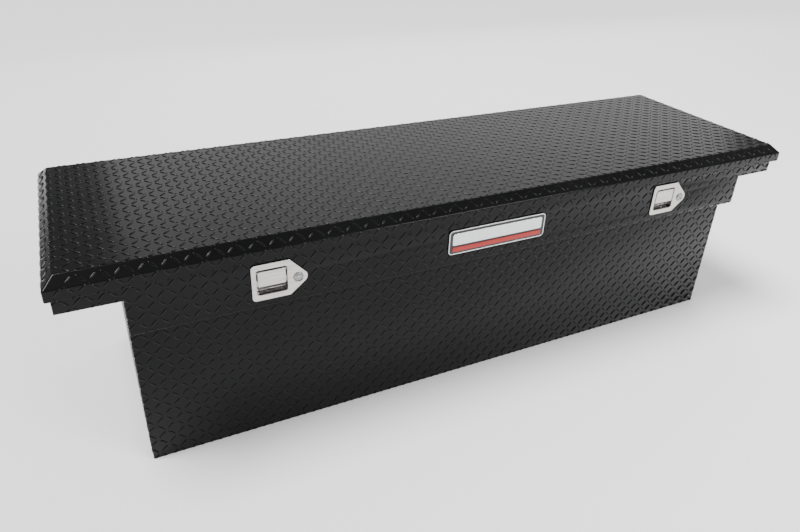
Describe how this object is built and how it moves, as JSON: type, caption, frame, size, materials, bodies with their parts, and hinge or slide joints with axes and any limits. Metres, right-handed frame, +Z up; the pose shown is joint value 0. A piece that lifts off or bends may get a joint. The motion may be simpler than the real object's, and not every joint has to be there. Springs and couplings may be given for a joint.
{
  "type": "truck tool box",
  "caption": "Low-profile crossover truck tool box: black tread-plate tub on two saddles, full-length hinged lid, keyed paddle latches and gas struts.",
  "frame": {"origin": "middle of the box in plan (the lid's outline), on the underside of the floor", "axes": "+X along the box's length to its right end as seen from the front, +Y from the latches at the front to the hinge at the back, +Z up"},
  "size_m": [1.772, 0.527, 0.49],
  "materials": {
    "black_tread_plate": "gloss black powder coat over 2 mm aluminium tread plate",
    "black_sheet": "satin black powder coat on flat aluminium sheet",
    "seal_rubber": "matt black EPDM",
    "hinge_aluminium": "mill-finish aluminium",
    "rivet_aluminium": "plain aluminium rivets",
    "stainless_pressing": "polished stainless steel pressing",
    "lock_chrome": "chromed zinc",
    "badge_black": "gloss black plastic",
    "badge_silver": "bright silver plastic",
    "badge_red": "red enamel strip",
    "foam_core": "rigid foam",
    "strut_black": "satin black paint",
    "strut_chrome": "hard chrome",
    "zinc_steel": "zinc-plated steel"
  },
  "bodies": {
    "box": {"bottom_panel": "black_tread_plate", "front_panel": "black_tread_plate", "back_panel": "black_tread_plate", "end_panel_left": "black_tread_plate", "end_panel_right": "black_tread_plate", "front_rail": "black_tread_plate", "saddle_left": "black_tread_plate", "saddle_right": "black_tread_plate", "weather_seal": "seal_rubber", "hinge_leaf_box": "hinge_aluminium", "hinge_pin": "zinc_steel", "hinge_rivets_box": "rivet_aluminium", "latch_pan_left": "stainless_pressing", "latch_pan_right": "stainless_pressing", "latch_gasket_left": "seal_rubber", "latch_gasket_right": "seal_rubber", "latch_nuts_left": "zinc_steel", "latch_nuts_right": "zinc_steel", "latch_case_left": "zinc_steel", "latch_case_right": "zinc_steel", "claw_pin_left": "zinc_steel", "claw_pin_right": "zinc_steel", "paddle_pin_left": "zinc_steel", "paddle_pin_right": "zinc_steel", "lock_barrel_left": "lock_chrome", "lock_barrel_right": "lock_chrome", "lock_nut_left": "zinc_steel", "lock_nut_right": "zinc_steel", "strut_anchor_left": "zinc_steel", "strut_anchor_right": "zinc_steel", "anchor_rivets": "rivet_aluminium", "badge_base": "badge_black", "badge_rim": "badge_silver", "badge_panel": "badge_silver", "badge_stripe": "badge_red"},
    "lid": {"lid_skin": "black_tread_plate", "lid_pan": "black_sheet", "lid_core": "foam_core", "hinge_leaf_lid": "hinge_aluminium", "hinge_rivets_lid": "rivet_aluminium", "striker_left": "zinc_steel", "striker_right": "zinc_steel", "striker_screws": "zinc_steel", "strut_bracket_left": "zinc_steel", "strut_bracket_right": "zinc_steel", "bracket_rivets": "rivet_aluminium"},
    "paddle_left": {"paddle_left": "stainless_pressing"},
    "lock_left": {"lock_plug_left": "lock_chrome", "lock_cam_left": "zinc_steel"},
    "claw_left": {"claw_left": "zinc_steel"},
    "strut_tube_left": {"strut_tube_left": "strut_black"},
    "strut_rod_left": {"strut_rod_left": "strut_chrome"},
    "paddle_right": {"paddle_right": "stainless_pressing"},
    "lock_right": {"lock_plug_right": "lock_chrome", "lock_cam_right": "zinc_steel"},
    "claw_right": {"claw_right": "zinc_steel"},
    "strut_tube_right": {"strut_tube_right": "strut_black"},
    "strut_rod_right": {"strut_rod_right": "strut_chrome"}
  },
  "joints": [
    {"name": "lid_hinge", "type": "hinge", "parent": "box", "child": "lid", "pos_m": [0, 0.2555, 0.446], "axis": [-1, 0, 0], "range_deg": [0, 75]},
    {"name": "strut_swing_left", "type": "hinge", "parent": "box", "child": "strut_tube_left", "pos_m": [-0.742, 0.1955, 0.266], "axis": [-1, 0, 0], "range_deg": [0, 45.76]},
    {"name": "strut_slide_left", "type": "slide", "parent": "strut_tube_left", "child": "strut_rod_left", "axis": [0, -0.7108, 0.7034], "range_m": [0, 0.1565]},
    {"name": "paddle_pull_left", "type": "hinge", "parent": "box", "child": "paddle_left", "pos_m": [-0.504, -0.246, 0.4145], "axis": [-1, 0, 0], "range_deg": [0, 40], "stiffness_Nm_per_rad": 0.25},
    {"name": "lock_turn_left", "type": "hinge", "parent": "box", "child": "lock_left", "pos_m": [-0.452, -0.2475, 0.391], "axis": [0, 1, 0], "range_deg": [0, 90]},
    {"name": "claw_turn_left", "type": "hinge", "parent": "box", "child": "claw_left", "pos_m": [-0.512, -0.205, 0.405], "axis": [1, 0, 0], "range_deg": [0, 35], "stiffness_Nm_per_rad": 0.2},
    {"name": "strut_swing_right", "type": "hinge", "parent": "box", "child": "strut_tube_right", "pos_m": [0.742, 0.1955, 0.266], "axis": [-1, 0, 0], "range_deg": [0, 45.76]},
    {"name": "strut_slide_right", "type": "slide", "parent": "strut_tube_right", "child": "strut_rod_right", "axis": [0, -0.7108, 0.7034], "range_m": [0, 0.1565]},
    {"name": "paddle_pull_right", "type": "hinge", "parent": "box", "child": "paddle_right", "pos_m": [0.504, -0.246, 0.4145], "axis": [-1, 0, 0], "range_deg": [0, 40], "stiffness_Nm_per_rad": 0.25},
    {"name": "lock_turn_right", "type": "hinge", "parent": "box", "child": "lock_right", "pos_m": [0.556, -0.2475, 0.391], "axis": [0, 1, 0], "range_deg": [0, 90]},
    {"name": "claw_turn_right", "type": "hinge", "parent": "box", "child": "claw_right", "pos_m": [0.496, -0.205, 0.405], "axis": [1, 0, 0], "range_deg": [0, 35], "stiffness_Nm_per_rad": 0.2}
  ],
  "couplings": [
    {"joint": "strut_swing_left", "follows": "lid_hinge", "ratio": 0.60949},
    {"joint": "strut_slide_left", "follows": "lid_hinge", "m_per_rad": 0.11938},
    {"joint": "strut_swing_right", "follows": "lid_hinge", "ratio": 0.60949},
    {"joint": "strut_slide_right", "follows": "lid_hinge", "m_per_rad": 0.11938}
  ]
}
